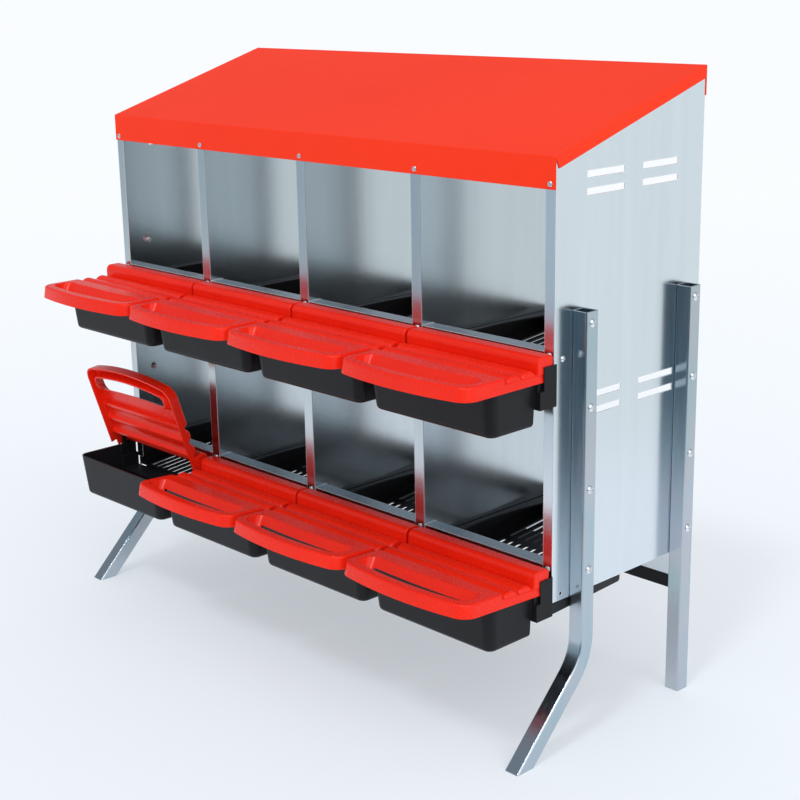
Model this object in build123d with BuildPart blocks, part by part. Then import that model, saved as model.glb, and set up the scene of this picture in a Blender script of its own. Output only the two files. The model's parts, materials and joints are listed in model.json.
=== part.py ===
from build123d import *
import os
from math import atan, cos, radians, tan

# Two-tier nesting box with roll-away egg trays. Millimetres, +Z up, +X to the right, +Y to the rear.
# The origin lies on the floor, mid-width, halfway between the lids' front edge and the roof's rear edge.

# Carcass
box_width = 1000.0
box_depth = 320.0
sheet = 1.0
fold_radius = 0.8
panel_bottom = 219.0
panel_flange = 17.0
divider_flange = 19.5
nests_per_tier = 4
sill_height = 272.5
tier_pitch = 304.0
sill_depth = 24.0
sill_leg = 20.0
rail_shelf = 30.0
rail_leg = 20.0
fit_gap = 0.2
window_gap = 0.4

# Low back panel, under the open rear of the nests, and the edging on its lower edge
back_bottom = 140.0
back_height = 110.0
edging_height = 20.0
edging_wall = 1.5

# Roof
roof_front_height = 836.0
roof_rise = 98.6
roof_apron = 43.0
roof_side_flange = 18.0
roof_rear_flange = 42.4
corner_notch = 8.0
corner_notch_drop = 2.0

# Ventilation slots in the side panels
vent_length = 78.0
vent_height = 9.0
vent_corner = 1.0
vent_first_middle = 103.5
vent_column_pitch = 118.5
vent_row_pitch = 23.4
vent_above_sill = 230.5

# Legs
tube = 25.0
tube_wall = 1.5
tube_corner = 3.0
leg_top = 629.0
front_leg_middle = 49.0
rear_leg_inset = 41.5
leg_bend_height = 129.0
leg_bend_angle = 45.0
leg_bend_radius = 88.0
bolt_first_height = 262.0
bolt_pitch = 117.0
bolts_per_leg = 4

# Fasteners
bolt_radius = 3.0
bolt_head_radius = 6.0
bolt_head_height = 3.2
bolt_thread_end = 3.0
nut_across_flats = 10.0
nut_height = 5.0
screw_radius = 2.0
screw_head_radius = 4.2
screw_head_height = 2.4
screw_length = 9.0
recess_depth = 1.2
recess_reach = 1.1
recess_slit = 0.25
head_rim = 0.25
dome_reach = 0.6
dome_rise = 0.78
hole_gap = 0.2
thread_gap = 0.03
apron_screw_drop = 36.0
sill_screw_drop = 5.0
side_screw_middle = 18.3
side_screw_drop = 11.2
spare_hole_height = 228.3
spare_hole_radius = 2.5

# Nest floor, measured from the sill's top, the front and rear planes and the nest's edges
moulding_wall = 2.5
floor_side_gap = 1.7
floor_front = 2.5
floor_rear_gap = 20.0
floor_rim_drop = 21.5
floor_front_drop = 67.0
floor_rear_drop = 38.0
floor_skirt_front_drop = 71.5
floor_skirt_rear_drop = 64.5
floor_skirt_end = 152.0
floor_mouth_inset = 25.0
floor_bow_inset = 12.0
floor_back_inset = 33.0
floor_back_rim = 20.0
floor_back_corner = 30.0
floor_slot_width = 6.8
floor_slot_corner = 3.0
floor_slot_inset = 32.0
floor_slot_bridge = 12.0
floor_slot_count = 13
floor_slot_rows = 2
floor_slot_end = 75.5
floor_skirt_corner = 5.0

# Trays and lids stand a little further apart than the nests, each tier pushed to the left
unit_spread = 4.0
unit_shifts = (-6.0, -2.0)

# Egg tray, measured from the sill's top, the front plane and the tray's share of the front
tray_rim_drop = 26.0
tray_bottom_drop = 98.0
tray_rim_inset = 9.0
tray_bottom_inset = 13.5
tray_rim_front = -121.0
tray_bottom_front = -113.0
tray_rear = -33.0
tray_rim_corner = 16.0
tray_bottom_corner = 14.0
tray_bottom_edge = 8.0
tray_lip_inset = 36.0
tray_lip_rear = 14.0
cheek_top_drop = 47.0
cheek_inset = 0.6
neck_inset = 16.4
lug_front = -25.0
lug_top_drop = 14.0
lug_thickness = 1.6
stem_shoulder_drop = 30.0
stem_rear_shoulder_drop = 26.0
stem_foot_rear = -14.0
stem_wall_drop = 20.0
stem_rear_reach = 1.5

# Hinge
hinge_back = -22.0
hinge_drop = 7.0
pin_radius = 2.5
pin_gap = 0.05
stem_thickness = 5.0
stem_head_radius = 4.4
stem_gap = 0.5
lower_lid_angle = 3.0
open_angle = 73.0
open_lid = ("l", 1)

# Lid, measured from the sill's top, the front plane and the lid's share of the front
lid_side_gap = 2.5
lid_rear = -17.0
lid_corner_front = -169.5
lid_middle_front = -183.0
lid_corner_radius = 24.0
lid_plate_drop = 23.0
lid_plate_edge = 2.5
lid_skirt_drop = 35.0
ring_rear = -93.0
ring_drop = 15.5
ring_draft = 2.5
ring_rear_corner = 8.0
ring_edge = 3.5
slot_top_inset = 18.0
slot_top_front = -155.0
slot_top_middle_front = -164.5
slot_top_rear = -119.0
slot_top_middle_rear = -123.0
slot_top_corner = 14.0
slot_foot_inset = 26.0
slot_foot_front = -154.0
slot_foot_middle_front = -162.5
slot_foot_rear = -135.5
slot_foot_middle_rear = -139.0
slot_foot_corner = 8.0
slot_edge = 1.5
slot_wall_drop = 28.5
slot_wall_inset = 32.0
ridge_front = -35.5
ridge_rear = -5.0
ridge_rise = 0.5
ridge_bottom_drop = 24.0
ridge_lip_drop = 3.5
ridge_front_radius = 9.0
ridge_rear_radius = 6.0
ridge_end_radius = 2.0
rib_first_middle = -49.5
rib_pitch = 29.0
rib_count = 2
rib_height = 7.5
rib_width = 27.0
rib_inset = 5.0
rib_end_radius = 4.0

# Places worked out from the sizes above
roof_overhang = fit_gap + sheet
rear_reach = box_depth + roof_overhang
front_y = -(lid_middle_front + rear_reach) / 2
half_box = box_width / 2
half_inside = half_box - sheet
nest_pitch = box_width / nests_per_tier
half_nest = nest_pitch / 2
unit_pitch = nest_pitch + unit_spread
half_unit = unit_pitch / 2
rear_leg_middle = box_depth - rear_leg_inset
roof_slope = atan(roof_rise / (rear_reach + roof_overhang))
tier_names = ("l", "u")
tier_sills = [sill_height + tier * tier_pitch for tier in range(len(tier_names))]
nest_middles = [(nest + 0.5) * nest_pitch - half_box for nest in range(nests_per_tier)]
unit_offsets = [middle * unit_pitch / nest_pitch for middle in nest_middles]
divider_faces = [nest * nest_pitch - half_box for nest in range(1, nests_per_tier)]
floor_half_width = half_nest - floor_side_gap
floor_rear = box_depth - floor_rear_gap
floor_mouth_half = half_nest - floor_mouth_inset
floor_bow_half = half_nest - floor_bow_inset
floor_back_half = half_nest - floor_back_inset
floor_back_edge = floor_rear - floor_back_rim
floor_slot_pitch = 2 * (half_nest - floor_slot_inset) / (floor_slot_count - 1)
floor_slot_row_pitch = (floor_rear - 2 * floor_slot_end) / (floor_slot_rows - 1)
floor_slot_length = floor_slot_row_pitch - floor_slot_bridge
tray_rim_half = half_unit - tray_rim_inset
tray_bottom_half = half_unit - tray_bottom_inset
tray_lip_half = half_unit - tray_lip_inset
cheek_half = half_unit - cheek_inset
neck_half = half_unit - neck_inset
lid_half_width = half_unit - lid_side_gap
rib_half_length = half_unit - rib_inset
floor_slope = (floor_front_drop - floor_rear_drop) / (floor_rear - floor_front)
rail_front = box_depth - sheet - rail_shelf
floor_over_rail = floor_front_drop - (rail_front - floor_front) * floor_slope
rail_drop = floor_over_rail + moulding_wall + fit_gap
bolt_heights = [bolt_first_height + row * bolt_pitch for row in range(bolts_per_leg)]
leg_middles = (front_leg_middle, rear_leg_middle)
flange_middles = [-half_box + panel_flange / 2]
flange_middles += [x - divider_flange / 2 for x in divider_faces]
flange_middles += [half_box - panel_flange / 2]
apron_screw_height = roof_front_height - apron_screw_drop
screw_hole_radius = screw_radius + thread_gap
bolt_hole_radius = bolt_radius + hole_gap
rail_screw_heights = [sill - rail_drop - rail_leg / 2 for sill in tier_sills]
rib_middles = [rib_first_middle - rib * rib_pitch for rib in range(rib_count)]


def side(x):
    """Upright plane across the width; its axes run back from the front, and up."""
    return Plane((x, front_y, 0), x_dir=(0, 1, 0), z_dir=(1, 0, 0))


def front(depth):
    """Upright plane facing forward, at a depth behind the front of the carcass."""
    return Plane((0, front_y + depth, 0), x_dir=(1, 0, 0), z_dir=(0, -1, 0))


def rear(depth):
    """Upright plane facing backward, at a depth behind the front of the carcass."""
    return Plane((0, front_y + depth, 0), x_dir=(-1, 0, 0), z_dir=(0, 1, 0))


def roof_top(depth):
    """Height of the roof's upper surface."""
    return roof_front_height + (depth + roof_overhang) * tan(roof_slope)


def roof_seat(depth):
    """Height of the sheet edges that stand under the roof."""
    return roof_top(depth) - sheet / cos(roof_slope) - fit_gap


def span(low, high):
    """Middle and length of a stretch."""
    return (low + high) / 2, high - low


def rectangle_between(low, high, mode=Mode.ADD):
    """Rectangle given by two opposite corners."""
    middle_a, length_a = span(low[0], high[0])
    middle_b, length_b = span(low[1], high[1])
    with Locations((middle_a, middle_b)):
        Rectangle(length_a, length_b, mode=mode)


def block_between(low, high, mode=Mode.ADD):
    """Block given by two opposite corners."""
    middles, lengths = zip(*[span(a, b) for a, b in zip(low, high)])
    with Locations(middles):
        Box(*lengths, mode=mode)


def save(part, name):
    """Label a finished piece and write it to its own file."""
    part.label = name
    export_step(part, f"parts/{name}.step")


os.makedirs("parts", exist_ok=True)


# Folded sheets of the carcass
def wall_outline():
    """Side view of a panel or divider, up to the sloping roof."""
    with BuildLine() as outline:
        Polyline(
            (0, panel_bottom),
            (box_depth, panel_bottom),
            (box_depth, roof_seat(box_depth)),
            (0, roof_seat(0)),
            close=True,
        )
    make_face(outline.edges())


def flange_sketch(depth, low, high, hole_middle, hole_heights):
    """Upright flange with a column of screw holes."""
    with BuildSketch(front(depth)) as flange:
        rectangle_between((low, panel_bottom), (high, roof_seat(depth)))
        with Locations(*[(hole_middle, height) for height in hole_heights]):
            Circle(screw_hole_radius, mode=Mode.SUBTRACT)
    return flange.sketch


front_hole_heights = [height - sill_screw_drop for height in tier_sills] + [apron_screw_height]
rear_apron_screw_height = roof_top(rear_reach) - apron_screw_drop
rear_hole_heights = rail_screw_heights + [rear_apron_screw_height]
vent_rows = [
    sill + vent_above_sill - row * vent_row_pitch for sill in tier_sills for row in range(2)
]
vent_middles = [
    (vent_first_middle + column * vent_column_pitch, height)
    for height in vent_rows
    for column in range(2)
]
bolt_places = [(middle, height) for middle in leg_middles for height in bolt_heights]
side_screw_height = tier_sills[-1] - side_screw_drop

with BuildPart() as side_panel:
    with BuildSketch(side(half_inside)):
        wall_outline()
        with Locations(*vent_middles):
            RectangleRounded(vent_length, vent_height, vent_corner, mode=Mode.SUBTRACT)
        with Locations(*bolt_places):
            Circle(bolt_hole_radius, mode=Mode.SUBTRACT)
        with Locations((side_screw_middle, side_screw_height)):
            Circle(screw_hole_radius, mode=Mode.SUBTRACT)
        with Locations((side_screw_middle, spare_hole_height)):
            Circle(spare_hole_radius, mode=Mode.SUBTRACT)
    extrude(amount=sheet)
    hole_x = flange_middles[-1]
    for depth, heights in ((0, front_hole_heights), (box_depth - sheet, rear_hole_heights)):
        flange = flange_sketch(depth, half_box - panel_flange, half_box, hole_x, heights)
        extrude(flange, amount=-sheet)
    outer_folds = side_panel.edges().filter_by(Axis.Z).filter_by_position(Axis.X, half_box, half_box)
    fillet(outer_folds, fold_radius)
save(side_panel.part, "side_panel_right")
save(mirror(side_panel.part, about=Plane.YZ), "side_panel_left")

for number, face_x in enumerate(divider_faces, start=1):
    hole_x = flange_middles[number]
    with BuildPart() as divider:
        with BuildSketch(side(face_x - sheet)):
            wall_outline()
            for sill in tier_sills:
                rectangle_between(
                    (sheet, sill - sill_leg - window_gap),
                    (sill_depth + window_gap, sill + window_gap),
                    Mode.SUBTRACT,
                )
                rectangle_between(
                    (rail_front - window_gap, sill - rail_drop - rail_leg - window_gap),
                    (box_depth - sheet, sill - rail_drop + window_gap),
                    Mode.SUBTRACT,
                )
        extrude(amount=sheet)
        for depth, heights in ((0, front_hole_heights), (box_depth - sheet, rear_hole_heights)):
            flange = flange_sketch(depth, face_x - divider_flange, face_x, hole_x, heights)
            extrude(flange, amount=-sheet)
        outer_folds = divider.edges().filter_by(Axis.Z).filter_by_position(Axis.X, face_x, face_x)
        front_fold = outer_folds.sort_by(Axis.Y)[0]
        rear_fold = outer_folds.sort_by(Axis.Y)[-1]
        fillet([front_fold, rear_fold], fold_radius)
    save(divider.part, f"divider_{number}")

with BuildPart() as back_panel:
    with BuildSketch(rear(box_depth)):
        rectangle_between((-half_box, back_bottom), (half_box, back_bottom + back_height))
        with Locations(*[(-x, rail_screw_heights[0]) for x in flange_middles]):
            Circle(screw_hole_radius, mode=Mode.SUBTRACT)
    extrude(amount=sheet)
save(back_panel.part, "back_panel")

# Dark edging clipped over the back panel's lower edge
with BuildPart() as back_edging:
    edging_low = back_bottom - fit_gap - edging_wall
    edging_front = box_depth - fit_gap - edging_wall
    edging_rear = box_depth + sheet + fit_gap + edging_wall
    with BuildSketch(side(-half_box)):
        rectangle_between((edging_front, edging_low), (edging_rear, edging_low + edging_height))
        rectangle_between(
            (edging_front + edging_wall, edging_low + edging_wall),
            (edging_rear - edging_wall, edging_low + edging_height),
            Mode.SUBTRACT,
        )
    extrude(amount=box_width)
save(back_edging.part, "back_edge_trim")

# Sills across the nest fronts, with a tab at each end; the side screws hold the upper one
half_angle = half_inside - fit_gap
for sill, tier_word in zip(tier_sills, ("lower", "upper")):
    with BuildPart() as sill_angle:
        with BuildSketch(side(-half_angle)):
            with BuildLine():
                Polyline(
                    (sheet, sill - sill_leg),
                    (2 * sheet, sill - sill_leg),
                    (2 * sheet, sill - sheet),
                    (sill_depth, sill - sheet),
                    (sill_depth, sill),
                    (sheet, sill),
                    close=True,
                )
            make_face()
        extrude(amount=2 * half_angle)
        fillet(sill_angle.edges().filter_by(Axis.X).sort_by(Axis.Z).group_by(Axis.Y)[0][-1], fold_radius)
        with BuildSketch(side(-half_angle), side(half_angle - sheet)):
            rectangle_between((sheet, sill - sill_leg), (sill_depth, sill - sheet / 2))
            if sill == tier_sills[-1]:
                with Locations((side_screw_middle, side_screw_height)):
                    Circle(screw_hole_radius, mode=Mode.SUBTRACT)
        extrude(amount=sheet)
        with BuildSketch(front(sheet)):
            with Locations(*[(x, sill - sill_screw_drop) for x in flange_middles]):
                Circle(screw_hole_radius)
        extrude(amount=-sheet, mode=Mode.SUBTRACT)
    save(sill_angle.part, f"sill_{tier_word}")

    # Rail at the rear that carries the nest floors, screwed to the rear flanges
    shelf_top = sill - rail_drop
    rail_rear = box_depth - sheet
    with BuildPart() as rail:
        with BuildSketch(side(-half_angle)):
            with BuildLine():
                Polyline(
                    (rail_rear, shelf_top - rail_leg),
                    (rail_rear - sheet, shelf_top - rail_leg),
                    (rail_rear - sheet, shelf_top - sheet),
                    (rail_rear - rail_shelf, shelf_top - sheet),
                    (rail_rear - rail_shelf, shelf_top),
                    (rail_rear, shelf_top),
                    close=True,
                )
            make_face()
        extrude(amount=2 * half_angle)
        with BuildSketch(rear(rail_rear)):
            with Locations(*[(-x, shelf_top - rail_leg / 2) for x in flange_middles]):
                Circle(screw_hole_radius)
        extrude(amount=-sheet, mode=Mode.SUBTRACT)
    save(rail.part, f"rear_rail_{tier_word}")

# Roof with its apron and flanges
half_roof = half_box + roof_overhang
with BuildPart() as roof:
    with BuildSketch(side(-half_roof)):
        with BuildLine():
            Polyline(
                (-roof_overhang, roof_top(-roof_overhang)),
                (rear_reach, roof_top(rear_reach)),
                (rear_reach, roof_top(rear_reach) - roof_side_flange),
                (-roof_overhang, roof_top(-roof_overhang) - roof_side_flange),
                close=True,
            )
        make_face()
    extrude(amount=2 * half_roof)
    with BuildSketch(front(-roof_overhang)):
        rectangle_between(
            (-half_roof, roof_front_height - roof_apron),
            (half_roof, roof_front_height - roof_side_flange / 2),
        )
    extrude(amount=-sheet)
    with BuildSketch(rear(rear_reach)):
        rectangle_between(
            (-half_roof, roof_top(rear_reach) - roof_rear_flange),
            (half_roof, roof_top(rear_reach) - roof_side_flange / 2),
        )
    extrude(amount=-sheet)
    top_face = roof.faces().sort_by(SortBy.AREA)[-2:].sort_by(Axis.Z)[-1]
    fillet(top_face.edges(), fold_radius)
    inner_front = -fit_gap
    inner_rear = rear_reach - sheet
    under = sheet / cos(roof_slope)
    with BuildSketch(side(-half_roof + sheet)):
        with BuildLine():
            Polyline(
                (inner_front, roof_top(inner_front) - under),
                (inner_rear, roof_top(inner_rear) - under),
                (inner_rear, roof_top(inner_rear) - roof_side_flange - roof_apron),
                (inner_front, roof_top(inner_front) - roof_side_flange - roof_apron),
                close=True,
            )
        make_face()
    extrude(amount=2 * (half_roof - sheet), mode=Mode.SUBTRACT)
    # Open corners between the apron and the side flanges
    notch_bottom = roof_top(inner_front) - 2 * roof_side_flange
    with BuildSketch(side(-half_roof)):
        with BuildLine():
            Polyline(
                (inner_front, roof_top(inner_front) - corner_notch_drop),
                (inner_front, notch_bottom),
                (inner_front + 2 * corner_notch, notch_bottom),
                close=True,
            )
        make_face()
    extrude(amount=2 * half_roof, mode=Mode.SUBTRACT)
    with BuildSketch(front(-roof_overhang)):
        with Locations(*[(x, apron_screw_height) for x in flange_middles]):
            Circle(screw_hole_radius)
    extrude(amount=-sheet, mode=Mode.SUBTRACT)
    with BuildSketch(rear(rear_reach)):
        with Locations(*[(-x, rear_apron_screw_height) for x in flange_middles]):
            Circle(screw_hole_radius)
    extrude(amount=-sheet, mode=Mode.SUBTRACT)
save(roof.part, "roof")


# Legs of square tube on the outer faces of the side panels
def tube_section(plane):
    """Hollow square section with rounded corners."""
    with BuildSketch(plane) as section:
        RectangleRounded(tube, tube, tube_corner)
        inner = tube - 2 * tube_wall
        RectangleRounded(inner, inner, tube_corner - tube_wall, mode=Mode.SUBTRACT)
    return section.sketch


def bolt_bores(middle):
    """Bores for the leg bolts, right through the tube."""
    with BuildSketch(side(half_box)) as bores:
        with Locations(*[(middle, height) for height in bolt_heights]):
            Circle(bolt_hole_radius)
    extrude(bores.sketch, amount=tube, mode=Mode.SUBTRACT)


tube_middle = half_box + tube / 2
below_floor = tube
foot_reach = (leg_bend_height + below_floor) * tan(radians(leg_bend_angle))
with BuildPart() as front_leg:
    with BuildLine(side(tube_middle)):
        FilletPolyline(
            (front_leg_middle, leg_top),
            (front_leg_middle, leg_bend_height),
            (front_leg_middle - foot_reach, -below_floor),
            radius=leg_bend_radius,
        )
    sweep(tube_section(Plane((tube_middle, front_y + front_leg_middle, leg_top))))
    split(bisect_by=Plane.XY, keep=Keep.TOP)
    bolt_bores(front_leg_middle)
with BuildPart() as rear_leg:
    extrude(tube_section(Plane((tube_middle, front_y + rear_leg_middle, 0))), amount=leg_top)
    bolt_bores(rear_leg_middle)
for leg, name in ((front_leg, "leg_front"), (rear_leg, "leg_rear")):
    save(leg.part, f"{name}_right")
    save(mirror(leg.part, about=Plane.YZ), f"{name}_left")


# Fasteners
def domed_fastener(head_radius, head_height, shank_radius, shank_length):
    """Domed head with a cross recess above the XY plane, shank below it."""
    rim = head_height * head_rim
    cross = head_radius * recess_reach
    slit = head_radius * recess_slit
    with BuildPart() as fastener:
        with BuildSketch(Plane.XZ):
            with BuildLine():
                Polyline((0, head_height), (0, 0), (head_radius, 0), (head_radius, rim))
                dome_middle = (head_radius * dome_reach, rim + (head_height - rim) * dome_rise)
                ThreePointArc((head_radius, rim), dome_middle, (0, head_height))
            make_face()
        revolve(axis=Axis.Z)
        with BuildSketch(Plane.XY.offset(head_height - recess_depth)):
            Rectangle(cross, slit)
            Rectangle(slit, cross)
        extrude(amount=head_height, mode=Mode.SUBTRACT)
        with BuildSketch():
            Circle(shank_radius)
        extrude(amount=-shank_length)
    return fastener.part


def place_group(master, planes, name):
    """One node holding a copy of the master on each plane."""
    with BuildPart() as group:
        with Locations(*planes):
            add(master)
    save(group.part, name)


screw = domed_fastener(screw_head_radius, screw_head_height, screw_radius, screw_length)
apron_planes = [
    Plane((x, front_y - roof_overhang, apron_screw_height), z_dir=(0, -1, 0)) for x in flange_middles
]
place_group(screw, apron_planes, "roof_screws")
sill_planes = [
    Plane((x, front_y, sill - sill_screw_drop), z_dir=(0, -1, 0))
    for sill in tier_sills
    for x in flange_middles
]
place_group(screw, sill_planes, "sill_screws")
side_planes = [
    Plane((sign * half_box, front_y + side_screw_middle, side_screw_height), z_dir=(sign, 0, 0))
    for sign in (-1, 1)
]
place_group(screw, side_planes, "side_screws")
back_rows = [(box_depth, height) for height in rail_screw_heights[1:]]
back_rows += [(box_depth + sheet, rail_screw_heights[0]), (rear_reach, rear_apron_screw_height)]
back_planes = [
    Plane((x, front_y + depth, height), z_dir=(0, 1, 0))
    for x in flange_middles
    for depth, height in back_rows
]
place_group(screw, back_planes, "back_screws")

bolt_length = tube + sheet + nut_height + bolt_thread_end
bolt = domed_fastener(bolt_head_radius, bolt_head_height, bolt_radius, bolt_length)
bolt_planes = [
    Plane((sign * (half_box + tube), front_y + middle, height), z_dir=(sign, 0, 0))
    for sign in (-1, 1)
    for middle, height in bolt_places
]
place_group(bolt, bolt_planes, "leg_bolts")

with BuildPart() as nut:
    with BuildSketch():
        RegularPolygon(nut_across_flats / 2, 6, major_radius=False)
        Circle(bolt_radius + thread_gap, mode=Mode.SUBTRACT)
    extrude(amount=-nut_height)
nut_planes = [
    Plane((sign * half_inside, front_y + middle, height), z_dir=(sign, 0, 0))
    for sign in (-1, 1)
    for middle, height in bolt_places
]
place_group(nut.part, nut_planes, "leg_nuts")


# Slotted nest floor, in the nest's own frame: mid-width, front plane, sill's top
def floor_top(depth):
    """Height of the sloping floor below the sill's top."""
    return -floor_front_drop + (depth - floor_front) * floor_slope


floor_inner_half = floor_half_width - moulding_wall
rim_under = -floor_rim_drop - moulding_wall
with BuildPart() as nest_floor:
    with BuildSketch(Plane.YZ.offset(-floor_half_width)):
        with BuildLine():
            Polyline(
                (floor_front, -floor_rim_drop),
                (floor_rear, -floor_rim_drop),
                (floor_rear, floor_top(floor_rear) - moulding_wall),
                (floor_skirt_end, floor_top(floor_skirt_end) - moulding_wall),
                (floor_skirt_end, -floor_skirt_rear_drop),
                (floor_front, -floor_skirt_front_drop),
                close=True,
            )
        make_face()
    extrude(amount=2 * floor_half_width)
    cross_edges = nest_floor.edges().filter_by(Axis.X)
    skirt_corners = cross_edges.filter_by_position(Axis.Y, floor_skirt_end, floor_skirt_end)
    fillet(skirt_corners.sort_by(Axis.Z)[0], floor_skirt_corner)
    # Space above the sloping floor, open at the front
    with BuildSketch(Plane.YZ.offset(-floor_inner_half)):
        with BuildLine():
            Polyline(
                (floor_front, floor_top(floor_front)),
                (floor_rear - moulding_wall, floor_top(floor_rear - moulding_wall)),
                (floor_rear - moulding_wall, rim_under),
                (floor_front, rim_under),
                close=True,
            )
        make_face()
    extrude(amount=2 * floor_inner_half, mode=Mode.SUBTRACT)
    # Hollow between the skirts, under the floor
    with BuildSketch(Plane.YZ.offset(-floor_inner_half)):
        with BuildLine():
            Polyline(
                (floor_front, floor_top(floor_front) - moulding_wall),
                (floor_skirt_end, floor_top(floor_skirt_end) - moulding_wall),
                (floor_skirt_end, -tray_bottom_drop),
                (floor_front, -tray_bottom_drop),
                close=True,
            )
        make_face()
    extrude(amount=2 * floor_inner_half, mode=Mode.SUBTRACT)
    # Bowed mouth in the rim
    with BuildSketch(Plane.XY.offset(rim_under)) as mouth:
        with BuildLine():
            Line((-floor_mouth_half, floor_front), (floor_mouth_half, floor_front))
            ThreePointArc(
                (floor_mouth_half, floor_front),
                (floor_bow_half, floor_back_edge / 2),
                (floor_back_half, floor_back_edge),
            )
            Line((floor_back_half, floor_back_edge), (-floor_back_half, floor_back_edge))
            ThreePointArc(
                (-floor_back_half, floor_back_edge),
                (-floor_bow_half, floor_back_edge / 2),
                (-floor_mouth_half, floor_front),
            )
        make_face()
        fillet(mouth.vertices().group_by(Axis.Y)[-1], floor_back_corner)
    extrude(amount=moulding_wall, mode=Mode.SUBTRACT)
    # Drainage slots
    with BuildSketch(Plane.XY.offset(-floor_skirt_front_drop)):
        with Locations((0, floor_rear / 2)):
            with GridLocations(floor_slot_pitch, floor_slot_row_pitch, floor_slot_count, floor_slot_rows):
                RectangleRounded(floor_slot_width, floor_slot_length, floor_slot_corner)
    extrude(amount=floor_skirt_front_drop - floor_rim_drop - 2 * moulding_wall, mode=Mode.SUBTRACT)


# Egg tray, in the nest's own frame
def tray_outline(height, half, front_edge, rear_edge, corner):
    """Plan of the basin with rounded front corners."""
    with BuildSketch(Plane.XY.offset(height)) as outline:
        rectangle_between((-half, front_edge), (half, rear_edge))
        fillet(outline.vertices().group_by(Axis.Y)[0], corner)
    return outline.sketch


lip_top = -floor_front_drop - moulding_wall - fit_gap
lip_bottom = lip_top - moulding_wall
stem_outer = lid_half_width - moulding_wall - stem_gap
stem_inner = stem_outer - stem_thickness
stem_rear = hinge_back + stem_rear_reach
with BuildPart() as egg_tray:
    outer_foot = tray_outline(
        -tray_bottom_drop, tray_bottom_half, tray_bottom_front, tray_rear, tray_bottom_corner
    )
    outer_rim = tray_outline(-tray_rim_drop, tray_rim_half, tray_rim_front, tray_rear, tray_rim_corner)
    loft([outer_foot, outer_rim])
    bottom_edges = egg_tray.faces().sort_by(Axis.Z)[0].edges()
    fillet(bottom_edges.filter_by(lambda edge: edge.center().Y < tray_rear - fit_gap), tray_bottom_edge)
    inner_bottom = -tray_bottom_drop + moulding_wall
    inner_rear = tray_rear - moulding_wall
    inner_foot = tray_outline(
        inner_bottom,
        tray_bottom_half - moulding_wall,
        tray_bottom_front + moulding_wall,
        inner_rear,
        tray_bottom_corner - moulding_wall,
    )
    inner_rim = tray_outline(
        -tray_rim_drop,
        tray_rim_half - moulding_wall,
        tray_rim_front + moulding_wall,
        inner_rear,
        tray_rim_corner - moulding_wall,
    )
    loft([inner_foot, inner_rim], mode=Mode.SUBTRACT)
    # Way through from the nest over the tray's rear wall
    way_half = tray_bottom_half - moulding_wall
    block_between((-way_half, inner_rear, lip_top), (way_half, tray_rear, -tray_rim_drop), Mode.SUBTRACT)
    # Neck floor, and the lip that reaches under the nest floor
    block_between((-stem_outer, tray_rear, lip_bottom), (stem_outer, -fit_gap, lip_top))
    block_between((-tray_lip_half, -fit_gap, lip_bottom), (tray_lip_half, tray_lip_rear, lip_top))
    for sign in (-1, 1):
        # Cheek that bears on the carcass flange, with its lug beside the lid
        cheek_near, cheek_far = sorted((sign * neck_half, sign * cheek_half))
        block_between((cheek_near, tray_rear, lip_bottom), (cheek_far, -fit_gap, -cheek_top_drop))
        lug_near, lug_far = sorted((sign * (cheek_half - lug_thickness), sign * cheek_half))
        block_between((lug_near, lug_front, -cheek_top_drop), (lug_far, -fit_gap, -lug_top_drop))
        # Hinge stem, bored for the lid's pin, with a wall behind it up to the carcass
        with BuildSketch(Plane.YZ.offset(min(sign * stem_inner, sign * stem_outer))):
            with BuildLine():
                Polyline(
                    (tray_rear, -cheek_top_drop),
                    (tray_rear, -stem_shoulder_drop),
                    (hinge_back - stem_head_radius, -stem_rear_shoulder_drop),
                    (hinge_back - stem_head_radius, -hinge_drop),
                    (stem_rear, -hinge_drop),
                    (stem_rear, -stem_rear_shoulder_drop),
                    (stem_foot_rear, -stem_shoulder_drop),
                    (-fit_gap, -stem_wall_drop),
                    (-fit_gap, -cheek_top_drop),
                    close=True,
                )
            make_face()
            with Locations((hinge_back, -hinge_drop)):
                Circle(stem_head_radius)
                Circle(pin_radius + pin_gap, mode=Mode.SUBTRACT)
        extrude(amount=stem_thickness)


# Lid, in the hinge's own frame: mid-width, on the hinge axis
def from_hinge(depth):
    """Distance behind the hinge axis."""
    return depth - hinge_back


def drop_from_hinge(drop):
    """Height above the hinge axis of a point below the sill's top."""
    return hinge_drop - drop


def draft(height):
    """Inward lean of the lid's side walls at a height."""
    return ring_draft * (height - skirt_bottom) / (ring_top - skirt_bottom)


def lid_outline(height, inset, rear_edge, rear_corner=0):
    """Plan of the lid at a height, with its bowed front, from the front to an edge further back."""
    lean = draft(height) + inset
    half = lid_half_width - lean
    corner = from_hinge(lid_corner_front) + lean
    middle = from_hinge(lid_middle_front) + lean
    with BuildSketch(Plane.XY.offset(height)) as outline:
        with BuildLine():
            Polyline((-half, corner), (-half, rear_edge), (half, rear_edge), (half, corner))
            ThreePointArc((half, corner), (0, middle), (-half, corner))
        make_face()
        fillet(outline.vertices().group_by(Axis.Y)[0], lid_corner_radius - lean)
        if rear_corner > lean:
            fillet(outline.vertices().group_by(Axis.Y)[-1], rear_corner - lean)
    return outline.sketch


def plate_outline(height, inset, rear_edge):
    """Plan of the ribbed plate at a height, ending inside the ring."""
    half = lid_half_width - draft(height) - inset
    with BuildSketch(Plane.XY.offset(height)) as outline:
        rectangle_between((-half, from_hinge(plate_front)), (half, rear_edge))
    return outline.sketch


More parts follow.
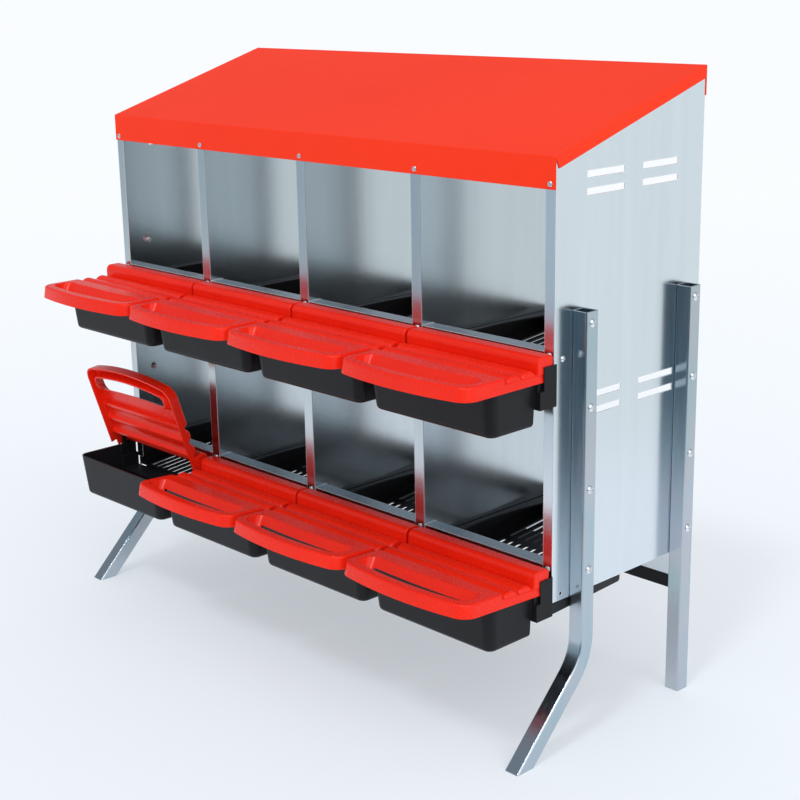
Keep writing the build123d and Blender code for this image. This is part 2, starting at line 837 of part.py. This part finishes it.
def slot_outline(height, margin, half, front_edge, front_middle, rear_edge, rear_middle, corner):
    """Plan of the bowed finger slot at one height."""
    front_edge = from_hinge(front_edge) - margin
    rear_edge = from_hinge(rear_edge) + margin
    half = half + margin
    with BuildSketch(Plane.XY.offset(height)) as slot:
        with BuildLine():
            ThreePointArc((-half, front_edge), (0, from_hinge(front_middle) - margin), (half, front_edge))
            Line((half, front_edge), (half, rear_edge))
            ThreePointArc((half, rear_edge), (0, from_hinge(rear_middle) + margin), (-half, rear_edge))
            Line((-half, rear_edge), (-half, front_edge))
        make_face()
        fillet(slot.vertices(), corner + margin)
    return slot.sketch


def slot_sections(margin):
    """Lower and upper plan of the finger slot, whose rear wall slopes."""
    foot = slot_outline(
        skirt_bottom,
        margin,
        half_unit - slot_foot_inset,
        slot_foot_front,
        slot_foot_middle_front,
        slot_foot_rear,
        slot_foot_middle_rear,
        slot_foot_corner,
    )
    top = slot_outline(
        ring_top,
        margin,
        half_unit - slot_top_inset,
        slot_top_front,
        slot_top_middle_front,
        slot_top_rear,
        slot_top_middle_rear,
        slot_top_corner,
    )
    return [foot, top]


def rib_section(middle, inset):
    """Half section of a long rib whose crown stands above the plate."""
    radius = rib_radius - inset
    half = rib_half_length - inset
    with BuildSketch(Plane((0, from_hinge(middle), rib_axis))) as half_section:
        rectangle_between((-half, 0), (half, radius))
        fillet(half_section.vertices().group_by(Axis.Y)[-1], rib_end_radius - inset)
    return half_section.sketch


def ridge_section(inset, bottom):
    """Section of the ridge that covers the hinge."""
    with BuildSketch(Plane.YZ) as section:
        rectangle_between(
            (from_hinge(ridge_front) + inset, bottom),
            (from_hinge(ridge_rear) - inset, ridge_top - inset),
        )
        fillet(section.vertices().group_by(Axis.Y)[-1].sort_by(Axis.X)[0], ridge_front_radius - inset)
        fillet(section.vertices().group_by(Axis.X)[-1].sort_by(Axis.Y)[-1], ridge_rear_radius - inset)
    return section.sketch


plate_top = drop_from_hinge(lid_plate_drop)
plate_under = plate_top - moulding_wall
plate_front = ring_rear - ring_rear_corner
skirt_bottom = drop_from_hinge(lid_skirt_drop)
ring_top = drop_from_hinge(ring_drop)
ring_under = ring_top - moulding_wall
ring_back = from_hinge(ring_rear)
rib_radius = (rib_width**2 / 4 + rib_height**2) / (2 * rib_height)
rib_axis = plate_top + rib_height - rib_radius
ridge_top = drop_from_hinge(-ridge_rise)
ridge_bottom = drop_from_hinge(ridge_bottom_drop)
ridge_inner_half = lid_half_width - moulding_wall
rib_turns = [Axis((0, from_hinge(middle), rib_axis), (1, 0, 0)) for middle in rib_middles]
pin_length = stem_thickness + stem_gap + fit_gap

# Hood over the hinge
with BuildPart() as ridge:
    extrude(ridge_section(0, ridge_bottom), amount=lid_half_width, both=True)
    end_faces = ridge.faces().filter_by(Axis.X)
    end_edges = end_faces.edges().filter_by(lambda edge: edge.center().Z > ridge_bottom + fit_gap)
    fillet(end_edges, ridge_end_radius)

# Hollow under the plate and the ring, leaving the skirt and the slot's wall
with BuildPart() as hollow:
    loft(
        [
            plate_outline(skirt_bottom, moulding_wall, from_hinge(ridge_rear)),
            plate_outline(plate_under, moulding_wall, from_hinge(ridge_rear)),
        ]
    )
    loft(
        [
            lid_outline(skirt_bottom, moulding_wall, ring_back - moulding_wall),
            lid_outline(ring_under, moulding_wall, ring_back - moulding_wall - draft(ring_under)),
        ]
    )
    loft(slot_sections(moulding_wall), mode=Mode.SUBTRACT)

with BuildPart() as lid:
    # Ring round the finger slot
    loft(
        [
            lid_outline(skirt_bottom, 0, ring_back, ring_rear_corner),
            lid_outline(ring_top, 0, ring_back - ring_draft, ring_rear_corner),
        ]
    )
    fillet(lid.faces().sort_by(Axis.Z)[-1].edges(), ring_edge)
    loft(slot_sections(0), mode=Mode.SUBTRACT)
    fillet(lid.faces().sort_by(Axis.Z)[-1].inner_wires()[0].edges(), slot_edge)
    # Plate with its ribs, and the hood
    with BuildPart(mode=Mode.PRIVATE) as plate:
        plate_back = from_hinge(lid_rear)
        loft([plate_outline(skirt_bottom, 0, plate_back), plate_outline(plate_top, 0, plate_back)])
        fillet(plate.faces().sort_by(Axis.Z)[-1].edges().filter_by(Axis.Y), lid_plate_edge)
        for middle, turn in zip(rib_middles, rib_turns):
            revolve(rib_section(middle, 0), axis=turn)
        split(bisect_by=Plane.XY.offset(skirt_bottom), keep=Keep.TOP)
    add(plate.part)
    add(ridge.part)
    add(hollow.part, mode=Mode.SUBTRACT)
    for middle, turn in zip(rib_middles, rib_turns):
        revolve(rib_section(middle, moulding_wall), axis=turn, mode=Mode.SUBTRACT)
    # The slot's rear wall ends just below the plate
    slot_wall_half = half_unit - slot_wall_inset
    block_between(
        (-slot_wall_half, from_hinge(slot_foot_middle_rear), skirt_bottom),
        (slot_wall_half, from_hinge(slot_top_rear), drop_from_hinge(slot_wall_drop)),
        Mode.SUBTRACT,
    )
    # Space for the hinge stems inside the hood, open to the rear below its lip
    extrude(
        ridge_section(moulding_wall, skirt_bottom),
        amount=ridge_inner_half,
        both=True,
        mode=Mode.SUBTRACT,
    )
    block_between(
        (-ridge_inner_half, from_hinge(ridge_rear) - ridge_rear_radius, skirt_bottom),
        (ridge_inner_half, from_hinge(ridge_rear), drop_from_hinge(ridge_lip_drop)),
        Mode.SUBTRACT,
    )
    # Hinge pins on the hood's end walls
    for sign in (-1, 1):
        with BuildSketch(Plane.YZ.offset(sign * ridge_inner_half)):
            Circle(pin_radius)
        extrude(amount=-sign * pin_length)

# One set of mouldings for each nest; the lower left lid stands open, the other lower ones a little ajar
for tier, sill, shift in zip(tier_names, tier_sills, unit_shifts):
    for number, (middle, offset) in enumerate(zip(nest_middles, unit_offsets), start=1):
        nest = Location((middle, front_y, sill))
        unit = Location((offset + shift, front_y, sill))
        rest_angle = lower_lid_angle if sill == sill_height else 0
        if (tier, number) == open_lid:
            rest_angle = open_angle
        hinge = unit * Location((0, hinge_back, -hinge_drop), (-rest_angle, 0, 0))
        save(nest * nest_floor.part, f"nest_floor_{tier}{number}")
        save(unit * egg_tray.part, f"egg_tray_{tier}{number}")
        save(hinge * lid.part, f"lid_{tier}{number}")
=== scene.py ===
import json
from math import cos, pi, radians, sin

import bpy
from mathutils import Matrix, Vector

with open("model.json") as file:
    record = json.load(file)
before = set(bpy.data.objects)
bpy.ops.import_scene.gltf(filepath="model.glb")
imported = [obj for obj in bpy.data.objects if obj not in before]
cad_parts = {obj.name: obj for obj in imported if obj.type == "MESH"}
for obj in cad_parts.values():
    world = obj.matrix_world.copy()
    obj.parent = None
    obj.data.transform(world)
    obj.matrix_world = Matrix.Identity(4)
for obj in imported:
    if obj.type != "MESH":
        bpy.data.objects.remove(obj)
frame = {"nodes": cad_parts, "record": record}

scene = bpy.context.scene
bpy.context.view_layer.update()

# Camera of the photograph, in the object's frame: metres, degrees and pixels
CAMERA_PLACE = (1.8139, -1.5997, 1.0744)
CAMERA_AZIMUTH = 46.490
CAMERA_ELEVATION = 15.549
CAMERA_ROLL = -1.048
FOCAL_PIXELS = 1558.151
IMAGE_PIXELS = 800
SENSOR = 36.0

# Studio: light from all round, a wide lamp from the right and a small one from above, pale floor
AMBIENT = (0.98, 0.99, 1.0)
AMBIENT_LEVEL = 0.69
FLOOR_NEAR = (0.89, 0.94, 1.0)
FLOOR_FAR = (0.96, 0.98, 1.0)
FLOOR_FADE_START = 0.6
FLOOR_FADE_END = 5.0
FLOOR_REACH = 400.0
FLOOR_GLOW = 0.45
FLOOR_ROUGHNESS = 0.9
FLOOR_GLOSS = 0.1
BACKDROP = (0.94, 0.97, 0.99)
# What the metal mirrors: dim overhead and behind the camera, most so on its right
DIM_LEFT = (0.43, 0.52, 0.59)
DIM_RIGHT = (0.08, 0.12, 0.15)
DIM_TOP = (0.27, 0.31, 0.35)
# Where the floor is dim in mirrors: metres to the front, the slope of that edge, metres to each side
DIM_START = -0.75
DIM_END = -1.45
DIM_LEAN = -0.3
DIM_WIDTH = 1.5
# Wall that mirrors show round the object, and the distances between which it takes the floor's place
WALL = (0.80, 0.85, 0.86)
WALL_START = 1.4
WALL_END = 2.0
# Where the surroundings are dim in mirrors, as parts of a direction of length one
AHEAD_DIM_START = -0.1
AHEAD_DIM_END = -0.8
SIDE_DIM_WIDTH = 0.7
TOP_DIM_START = 0.04
TOP_DIM_END = 0.24

# Values for the materials: no stretch, the usual range of the noise, edge masks, gloss and sheet colours
EVEN = (1.0, 1.0, 1.0)
CLOUD_LOW = 0.3
CLOUD_HIGH = 0.7
BEVEL_SAMPLES = 4
EDGE_MATCH = 0.8
FLAT_MATCH = 0.995
SHEET_EDGE_SHARE = 0.95
PLASTIC_GLOSS = 0.2
NEST_FLOOR_GLOSS = 0.32
OUTER_DULL = (0.73, 0.79, 0.84)
OUTER_BRIGHT = (0.79, 0.85, 0.90)
# Darker copies of the sheet colours for inside the nests: painted shade
INNER_SHADED_DULL = (0.575, 0.63, 0.665)
INNER_SHADED_BRIGHT = (0.63, 0.685, 0.72)


# Small helpers for shader nodes
def new_material(name):
    """Empty node material with a Principled shader; returns the material, its tree and the shader."""
    material = bpy.data.materials.new(name)
    material.use_nodes = True
    tree = material.node_tree
    shader = tree.nodes["Principled BSDF"]
    return material, tree, shader


def add_node(tree, kind, **settings):
    """New node with the default values of its named inputs and its plain settings."""
    node = tree.nodes.new(kind)
    for key, value in settings.items():
        if key in node.inputs:
            node.inputs[key].default_value = value
        else:
            setattr(node, key, value)
    return node


def own_place(tree, stretch=EVEN):
    """Coordinates fixed to the object, stretched along its axes."""
    place = add_node(tree, "ShaderNodeTexCoord")
    mapping = add_node(tree, "ShaderNodeMapping", Scale=stretch)
    tree.links.new(place.outputs["Object"], mapping.inputs["Vector"])
    return mapping.outputs["Vector"]


def placed_noise(tree, stretch=EVEN, scale=1.0, detail=4.0, roughness=0.55):
    """Grey cloud noise in the object's own coordinates."""
    noise = add_node(tree, "ShaderNodeTexNoise", Scale=scale, Detail=detail, Roughness=roughness)
    tree.links.new(own_place(tree, stretch), noise.inputs["Vector"])
    return noise.outputs["Fac"]


def spread(tree, source, low, high, from_low=CLOUD_LOW, from_high=CLOUD_HIGH):
    """Map a grey value onto a range."""
    node = add_node(tree, "ShaderNodeMapRange")
    node.inputs["From Min"].default_value = from_low
    node.inputs["From Max"].default_value = from_high
    node.inputs["To Min"].default_value = low
    node.inputs["To Max"].default_value = high
    tree.links.new(source, node.inputs["Value"])
    return node.outputs["Result"]


def share_between(tree, source, start, end):
    """Grey share that goes from none to all as a value goes from a start to an end."""
    return spread(tree, source, low=0.0, high=1.0, from_low=start, from_high=end)


def ramp(tree, source, stops):
    """Colour ramp from (position, colour) stops."""
    node = add_node(tree, "ShaderNodeValToRGB")
    elements = node.color_ramp.elements
    while len(elements) < len(stops):
        elements.new(1.0)
    for element, (position, colour) in zip(elements, stops):
        element.position = position
        element.color = (*colour, 1.0)
    tree.links.new(source, node.inputs["Fac"])
    return node.outputs["Color"]


def mixed_colour(tree, share, first, second):
    """Colour that goes from a first to a second one, linked or plain, with a grey share."""
    node = add_node(tree, "ShaderNodeMix", data_type="RGBA")
    sockets = {socket.name: socket for socket in node.inputs if socket.type == "RGBA"}
    tree.links.new(share, node.inputs[0])
    for letter, colour in (("A", first), ("B", second)):
        if isinstance(colour, tuple):
            sockets[letter].default_value = (*colour, 1.0)
        else:
            tree.links.new(colour, sockets[letter])
    return [socket for socket in node.outputs if socket.type == "RGBA"][0]


def arithmetic(tree, operation, first, second):
    """Result of an operation on a linked value and a linked or plain one."""
    node = add_node(tree, "ShaderNodeMath", operation=operation)
    tree.links.new(first, node.inputs[0])
    if isinstance(second, float):
        node.inputs[1].default_value = second
    else:
        tree.links.new(second, node.inputs[1])
    return node.outputs["Value"]


def rounded_normal(tree, radius):
    """Surface direction with the mesh's edges rounded off."""
    bevel = add_node(tree, "ShaderNodeBevel", Radius=radius, samples=BEVEL_SAMPLES)
    return bevel.outputs["Normal"]


def edge_share(tree, radius):
    """Grey mask that is white along the edges of the mesh."""
    flat = add_node(tree, "ShaderNodeNewGeometry")
    match = add_node(tree, "ShaderNodeVectorMath", operation="DOT_PRODUCT")
    tree.links.new(rounded_normal(tree, radius), match.inputs[0])
    tree.links.new(flat.outputs["Normal"], match.inputs[1])
    likeness = match.outputs["Value"]
    return spread(tree, likeness, low=1.0, high=0.0, from_low=EDGE_MATCH, from_high=FLAT_MATCH)


def edged(tree, shader, colour, edge_colour, radius, most):
    """Give the shader its colour, with paler edges that are partly wear and partly painted highlight;
    returns the edges' share.
    """
    share = spread(tree, edge_share(tree, radius), low=0.0, high=most, from_low=0.0, from_high=1.0)
    tree.links.new(mixed_colour(tree, share, colour, edge_colour), shader.inputs["Base Color"])
    return share


def bump(tree, shader, height, strength, distance, rounding):
    """Surface relief from a grey value, with softened edges."""
    node = add_node(tree, "ShaderNodeBump", Strength=strength, Distance=distance)
    tree.links.new(rounded_normal(tree, rounding), node.inputs["Normal"])
    tree.links.new(height, node.inputs["Height"])
    tree.links.new(node.outputs["Normal"], shader.inputs["Normal"])


# Materials
def galvanised_sheet(name, dull, bright):
    """Zinc-coated sheet: pale blue grey, faint rolling streaks and spangle, paler edges that are partly
    bare cut metal and partly painted highlight.
    """
    material, tree, shader = new_material(name)
    streaks = placed_noise(tree, stretch=(40.0, 40.0, 2.0))
    colour = ramp(tree, streaks, [(0.2, dull), (0.8, bright)])
    # Paler, less metallic edges: partly bare cut edges, partly painted highlight along the folds
    bare_edge_and_highlight = edged(
        tree,
        shader,
        colour,
        edge_colour=(0.95, 0.97, 0.99),
        radius=0.002,
        most=SHEET_EDGE_SHARE,
    )
    metallic = spread(tree, bare_edge_and_highlight, low=1.0, high=0.1, from_low=0.0, from_high=SHEET_EDGE_SHARE)
    tree.links.new(metallic, shader.inputs["Metallic"])
    spangle = add_node(tree, "ShaderNodeTexVoronoi", Scale=110.0)
    tree.links.new(own_place(tree), spangle.inputs["Vector"])
    polish = spread(tree, spangle.outputs["Color"], low=0.195, high=0.21, from_low=0.0, from_high=1.0)
    tree.links.new(polish, shader.inputs["Roughness"])
    bump(tree, shader, streaks, strength=0.015, distance=0.001, rounding=0.001)
    return material


def zinc_tube():
    """Bright zinc plate with a faint rainbow tint."""
    material, tree, shader = new_material("zinc_tube")
    tint = placed_noise(tree, stretch=(14.0, 14.0, 5.0))
    colour = ramp(
        tree,
        tint,
        [
            (0.30, (0.41, 0.54, 0.61)),
            (0.45, (0.47, 0.56, 0.62)),
            (0.55, (0.53, 0.55, 0.61)),
            (0.70, (0.45, 0.58, 0.60)),
        ],
    )
    # Paler edges: painted highlight along the tube's edges
    edged(tree, shader, colour, edge_colour=(0.80, 0.88, 0.94), radius=0.0015, most=0.35)
    scuffs = placed_noise(tree, stretch=(120.0, 120.0, 6.0))
    tree.links.new(spread(tree, scuffs, low=0.14, high=0.26), shader.inputs["Roughness"])
    shader.inputs["Metallic"].default_value = 1.0
    bump(tree, shader, scuffs, strength=0.02, distance=0.0005, rounding=0.0015)
    return material


def zinc_fastener():
    """Bright zinc plate on small turned heads."""
    material, tree, shader = new_material("zinc_fastener")
    specks = placed_noise(tree, scale=400.0)
    colour = ramp(tree, specks, [(CLOUD_LOW, (0.74, 0.77, 0.80)), (CLOUD_HIGH, (0.88, 0.90, 0.92))])
    tree.links.new(colour, shader.inputs["Base Color"])
    tree.links.new(spread(tree, specks, low=0.2, high=0.34), shader.inputs["Roughness"])
    shader.inputs["Metallic"].default_value = 0.85
    return material


def coloured_skin(name, patches, dark, light, edge, grain, polish, relief, gloss):
    """Paint or moulded plastic: faintly cloudy colour, paler edges that are partly rubbed and partly
    painted highlight, and a fine grain.
    """
    material, tree, shader = new_material(name)
    shade = placed_noise(tree, stretch=(patches, patches, patches))
    colour = ramp(tree, shade, [(CLOUD_LOW, dark), (CLOUD_HIGH, light)])
    # Paler edges: partly rubbed, partly painted highlight
    edged(tree, shader, colour, **edge)
    fine = placed_noise(tree, **grain)
    tree.links.new(spread(tree, fine, **polish), shader.inputs["Roughness"])
    bump(tree, shader, fine, **relief)
    shader.inputs["Specular IOR Level"].default_value = gloss
    return material


def red_paint():
    """Satin coil coat on the roof sheet."""
    return coloured_skin(
        "red_paint",
        patches=3.0,
        dark=(0.95, 0.035, 0.006),
        light=(0.99, 0.041, 0.008),
        # Paler edges: partly bare cut edges of the coat, partly painted highlight along the folds
        edge={"edge_colour": (0.99, 0.09, 0.05), "radius": 0.0015, "most": 0.35},
        grain={"scale": 900.0, "detail": 2.0},
        polish={"low": 0.42, "high": 0.52},
        relief={"strength": 0.04, "distance": 0.0004, "rounding": 0.0012},
        gloss=0.14,
    )


def red_plastic():
    """Semi-gloss moulded plastic with a fine grain and paler edges, partly rubbed and partly painted
    highlight.
    """
    return coloured_skin(
        "red_plastic",
        patches=8.0,
        dark=(0.83, 0.016, 0.004),
        light=(0.89, 0.022, 0.006),
        # Paler edges: partly rubbed, partly painted highlight
        edge={"edge_colour": (0.92, 0.07, 0.04), "radius": 0.0015, "most": 0.3},
        grain={"scale": 700.0, "detail": 3.0},
        polish={"low": 0.22, "high": 0.32},
        relief={"strength": 0.04, "distance": 0.0004, "rounding": 0.0012},
        gloss=0.26,
    )


def black_plastic(name, gloss):
    """Satin charcoal moulding with a fine grain, more or less glossy."""
    return coloured_skin(
        name,
        patches=12.0,
        dark=(0.008, 0.008, 0.010),
        light=(0.012, 0.012, 0.014),
        # Paler edges: partly rubbed, partly painted highlight
        edge={"edge_colour": (0.05, 0.053, 0.06), "radius": 0.0012, "most": 0.35},
        grain={"scale": 600.0, "detail": 3.0},
        polish={"low": 0.34, "high": 0.48},
        relief={"strength": 0.06, "distance": 0.0005, "rounding": 0.001},
        gloss=gloss,
    )


materials = {
    "galvanised_sheet": galvanised_sheet("galvanised_sheet", OUTER_DULL, OUTER_BRIGHT),
    "zinc_tube": zinc_tube(),
    "zinc_fastener": zinc_fastener(),
    "red_paint": red_paint(),
    "red_plastic": red_plastic(),
    "black_plastic": black_plastic("black_plastic", PLASTIC_GLOSS),
    "black_edging": black_plastic("black_edging", PLASTIC_GLOSS),
}
# Sheets seen from inside the nests get a darker copy of the sheet colour as painted shade, and the nest
# floors are glossier
painted_shade_sheet = galvanised_sheet("galvanised_shaded_sheet", INNER_SHADED_DULL, INNER_SHADED_BRIGHT)
own_look = {name: painted_shade_sheet for name in ("side_panel_left", "divider_1", "divider_2", "divider_3")}
floor_plastic = black_plastic("floor_plastic", NEST_FLOOR_GLOSS)
own_look.update({name: floor_plastic for name in frame["nodes"] if name.startswith("nest_floor")})
for subpart in frame["record"]["subparts"]:
    name = subpart["node"]
    node = frame["nodes"][name]
    node.data.materials.clear()
    node.data.materials.append(own_look.get(name, materials[subpart["material_slot"]]))


# Camera
def photo_camera():
    """Camera at the photograph's place, direction and angle of view."""
    azimuth, elevation, roll = (radians(a) for a in (CAMERA_AZIMUTH, CAMERA_ELEVATION, CAMERA_ROLL))
    ahead = Vector((-sin(azimuth) * cos(elevation), cos(azimuth) * cos(elevation), -sin(elevation)))
    right = Vector((cos(azimuth), sin(azimuth), 0.0))
    up = right.cross(ahead)
    rolled_right = right * cos(roll) + up * sin(roll)
    rolled_up = up * cos(roll) - right * sin(roll)
    turn = Matrix((rolled_right, rolled_up, -ahead)).transposed().to_4x4()
    data = bpy.data.cameras.new("photo_camera")
    data.sensor_width = SENSOR
    data.lens = FOCAL_PIXELS / IMAGE_PIXELS * SENSOR
    data.clip_end = 2.0 * FLOOR_REACH
    camera = bpy.data.objects.new("photo_camera", data)
    camera.matrix_world = Matrix.Translation(CAMERA_PLACE) @ turn
    scene.collection.objects.link(camera)
    scene.camera = camera


# Floor, light and surroundings
def seen_share(tree, path):
    """One where the camera looks, straight, in a mirror or through glass."""
    seen = path.outputs["Is Camera Ray"]
    for name in ("Is Glossy Ray", "Is Transmission Ray"):
        seen = arithmetic(tree, "MAXIMUM", seen, path.outputs[name])
    return seen


def in_mirrors(tree, path, share, plain, colour):
    """Plain colour that turns into another one in mirrors, as far as a grey share says."""
    mirrored = arithmetic(tree, "MULTIPLY", path.outputs["Is Glossy Ray"], share)
    return mixed_colour(tree, mirrored, plain, colour)


def floor_colour(tree, path):
    """Pale, a little whiter in the distance; in mirrors it ends at a wall and is dim in front."""
    place = own_place(tree)
    distance = add_node(tree, "ShaderNodeVectorMath", operation="LENGTH")
    tree.links.new(place, distance.inputs[0])
    axes = add_node(tree, "ShaderNodeSeparateXYZ")
    tree.links.new(place, axes.inputs["Vector"])
    far = share_between(tree, distance.outputs["Value"], FLOOR_FADE_START, FLOOR_FADE_END)
    pale = ramp(tree, far, [(0.0, FLOOR_NEAR), (1.0, FLOOR_FAR)])
    beyond = share_between(tree, distance.outputs["Value"], WALL_START, WALL_END)
    walled = in_mirrors(tree, path, beyond, pale, WALL)
    lean = arithmetic(tree, "MULTIPLY", axes.outputs["X"], DIM_LEAN)
    ahead = arithmetic(tree, "ADD", axes.outputs["Y"], lean)
    side = share_between(tree, axes.outputs["X"], -DIM_WIDTH, DIM_WIDTH)
    dim_colour = mixed_colour(tree, side, DIM_LEFT, DIM_RIGHT)
    return in_mirrors(tree, path, share_between(tree, ahead, DIM_START, DIM_END), walled, dim_colour)


def floor_paper():
    """Matt paper that keeps shadows and glows a little where it is seen, also in mirrors."""
    material, tree, shader = new_material("floor_paper")
    path = add_node(tree, "ShaderNodeLightPath")
    colour = floor_colour(tree, path)
    tree.links.new(colour, shader.inputs["Base Color"])
    shader.inputs["Roughness"].default_value = FLOOR_ROUGHNESS
    shader.inputs["Specular IOR Level"].default_value = FLOOR_GLOSS
    glow = add_node(tree, "ShaderNodeEmission")
    tree.links.new(colour, glow.inputs["Color"])
    blend = add_node(tree, "ShaderNodeMixShader")
    tree.links.new(arithmetic(tree, "MULTIPLY", seen_share(tree, path), FLOOR_GLOW), blend.inputs["Fac"])
    tree.links.new(shader.outputs["BSDF"], blend.inputs[1])
    tree.links.new(glow.outputs["Emission"], blend.inputs[2])
    tree.links.new(blend.outputs["Shader"], tree.nodes["Material Output"].inputs["Surface"])
    return material


def studio_floor():
    """Wide level floor under the legs."""
    mesh = bpy.data.meshes.new("floor")
    reach = FLOOR_REACH
    corners = [(-reach, -reach, 0), (reach, -reach, 0), (reach, reach, 0), (-reach, reach, 0)]
    mesh.from_pydata(corners, [], [(0, 1, 2, 3)])
    mesh.materials.append(floor_paper())
    floor = bpy.data.objects.new("floor", mesh)
    scene.collection.objects.link(floor)


def far_lamp(name, level, tilt, heading, width):
    """Lamp far away: its share of light on the floor, its lean and turn, and how wide it looks."""
    data = bpy.data.lights.new(name, "SUN")
    data.angle = radians(width)
    data.energy = level * pi / cos(radians(tilt))
    lamp = bpy.data.objects.new(name, data)
    lamp.rotation_euler = (radians(tilt), 0.0, radians(heading))
    scene.collection.objects.link(lamp)


def surroundings_colour(tree, path):
    """Pale backdrop; in mirrors it is dim overhead and in front of the object."""
    direction = add_node(tree, "ShaderNodeTexCoord")
    axes = add_node(tree, "ShaderNodeSeparateXYZ")
    tree.links.new(direction.outputs["Generated"], axes.inputs["Vector"])
    ahead = share_between(tree, axes.outputs["Y"], AHEAD_DIM_START, AHEAD_DIM_END)
    side = share_between(tree, axes.outputs["X"], -SIDE_DIM_WIDTH, SIDE_DIM_WIDTH)
    level = in_mirrors(tree, path, ahead, BACKDROP, mixed_colour(tree, side, DIM_LEFT, DIM_RIGHT))
    overhead = share_between(tree, axes.outputs["Z"], TOP_DIM_START, TOP_DIM_END)
    return in_mirrors(tree, path, overhead, level, DIM_TOP)


def surroundings():
    """World: what the camera and the metal see, and the level light from all round."""
    world = bpy.data.worlds.new("studio")
    scene.world = world
    world.use_nodes = True
    tree = world.node_tree
    tree.nodes.clear()
    path = add_node(tree, "ShaderNodeLightPath")
    ambient = add_node(tree, "ShaderNodeBackground", Color=(*AMBIENT, 1.0), Strength=AMBIENT_LEVEL)
    backdrop = add_node(tree, "ShaderNodeBackground", Strength=1.0)
    tree.links.new(surroundings_colour(tree, path), backdrop.inputs["Color"])
    mixed = add_node(tree, "ShaderNodeMixShader")
    tree.links.new(seen_share(tree, path), mixed.inputs["Fac"])
    tree.links.new(ambient.outputs["Background"], mixed.inputs[1])
    tree.links.new(backdrop.outputs["Background"], mixed.inputs[2])
    output = add_node(tree, "ShaderNodeOutputWorld")
    tree.links.new(mixed.outputs["Shader"], output.inputs["Surface"])


photo_camera()
studio_floor()
far_lamp("soft_lamp", level=0.18, tilt=57.0, heading=70.0, width=60.0)
far_lamp("small_lamp", level=0.16, tilt=33.0, heading=15.0, width=10.0)
surroundings()
scene.view_settings.view_transform = "Standard"
